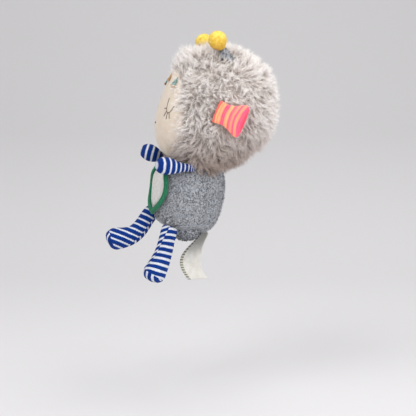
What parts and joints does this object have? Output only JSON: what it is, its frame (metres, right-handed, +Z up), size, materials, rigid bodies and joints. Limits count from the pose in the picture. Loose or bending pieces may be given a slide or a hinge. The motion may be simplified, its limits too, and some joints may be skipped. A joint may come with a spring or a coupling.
{
  "type": "plush_alien",
  "caption": "Stuffed plush alien with a furry head, sleepy stitched face, pink fan ears, ball-tipped antennae, grey pile body, striped limbs and a blank sewn-in label",
  "frame": {"origin": "on the body's vertical axis at the height where a stand grips the waist under the arms", "axes": "+Z up through the head, +X to the toy's left, the toy faces -Y"},
  "size_m": [0.1273, 0.1609, 0.2384],
  "materials": {
    "body_pile": "matte",
    "seat_pile": "matte",
    "green_felt": "matte",
    "silver_cloth": "satin",
    "head_fur": "matte",
    "face_knit": "matte",
    "teal_cloth": "matte",
    "gold_cloth": "matte",
    "ear_stripe": "matte",
    "yellow_felt": "matte",
    "striped_knit": "matte",
    "label_ribbon": "satin"
  },
  "bodies": {
    "torso": {"body": "body_pile", "seat": "seat_pile", "belly_rim": "green_felt", "belly_panel": "silver_cloth"},
    "head": {"head": "head_fur", "face": "face_knit", "brow_left": "teal_cloth", "brow_middle": "gold_cloth", "brow_right": "teal_cloth"},
    "ear_left": {"ear_left": "ear_stripe"},
    "ear_right": {"ear_right": "ear_stripe"},
    "antenna_left": {"antenna_stalk_left": "body_pile", "antenna_ball_left": "yellow_felt"},
    "antenna_right": {"antenna_stalk_right": "body_pile", "antenna_ball_right": "yellow_felt"},
    "arm_left": {"arm_left": "striped_knit"},
    "arm_right": {"arm_right": "striped_knit"},
    "leg_left": {"leg_left": "striped_knit"},
    "leg_right": {"leg_right": "striped_knit"},
    "label": {"label": "label_ribbon"}
  },
  "joints": [
    {"name": "neck", "type": "hinge", "parent": "torso", "child": "head", "pos_m": [0, 0.0057, 0.009], "axis": [1, 0, 0], "range_deg": [-12, 5]},
    {"name": "shoulder_left", "type": "hinge", "parent": "torso", "child": "arm_left", "pos_m": [0.034, -0.0068, 0.012], "axis": [0.7071, 0, 0.7071], "range_deg": [-8, 80]},
    {"name": "shoulder_right", "type": "hinge", "parent": "torso", "child": "arm_right", "pos_m": [-0.034, -0.0068, 0.012], "axis": [0.7071, 0, -0.7071], "range_deg": [-2, 80]},
    {"name": "hip_left", "type": "hinge", "parent": "torso", "child": "leg_left", "pos_m": [0.01913, -0.02633, -0.0455], "axis": [-1, 0, 0], "range_deg": [-16, 63]},
    {"name": "hip_right", "type": "hinge", "parent": "torso", "child": "leg_right", "pos_m": [-0.02244, -0.03088, -0.035], "axis": [-1, 0, 0], "range_deg": [-29, 20]},
    {"name": "ear_left_root", "type": "hinge", "parent": "head", "child": "ear_left", "pos_m": [0.0549, 0.00604, 0.067], "axis": [-0.0611, -0.3859, -0.9205], "range_deg": [0, 70]},
    {"name": "ear_right_root", "type": "hinge", "parent": "head", "child": "ear_right", "pos_m": [-0.05906, 0.02409, 0.067], "axis": [0.0611, 0.3859, 0.9205], "range_deg": [0, 70]},
    {"name": "antenna_left_root", "type": "hinge", "parent": "head", "child": "antenna_left", "pos_m": [0.03041, 0.02845, 0.11048], "axis": [0.9877, -0.1564, 0], "range_deg": [-35, 5]},
    {"name": "antenna_right_root", "type": "hinge", "parent": "head", "child": "antenna_right", "pos_m": [-0.02885, 0.03783, 0.11048], "axis": [0.9877, -0.1564, 0], "range_deg": [-35, 5]},
    {"name": "label_seam", "type": "hinge", "parent": "torso", "child": "label", "pos_m": [0, 0.0157, -0.0528], "axis": [1, 0, 0], "range_deg": [-3, 40]}
  ]
}
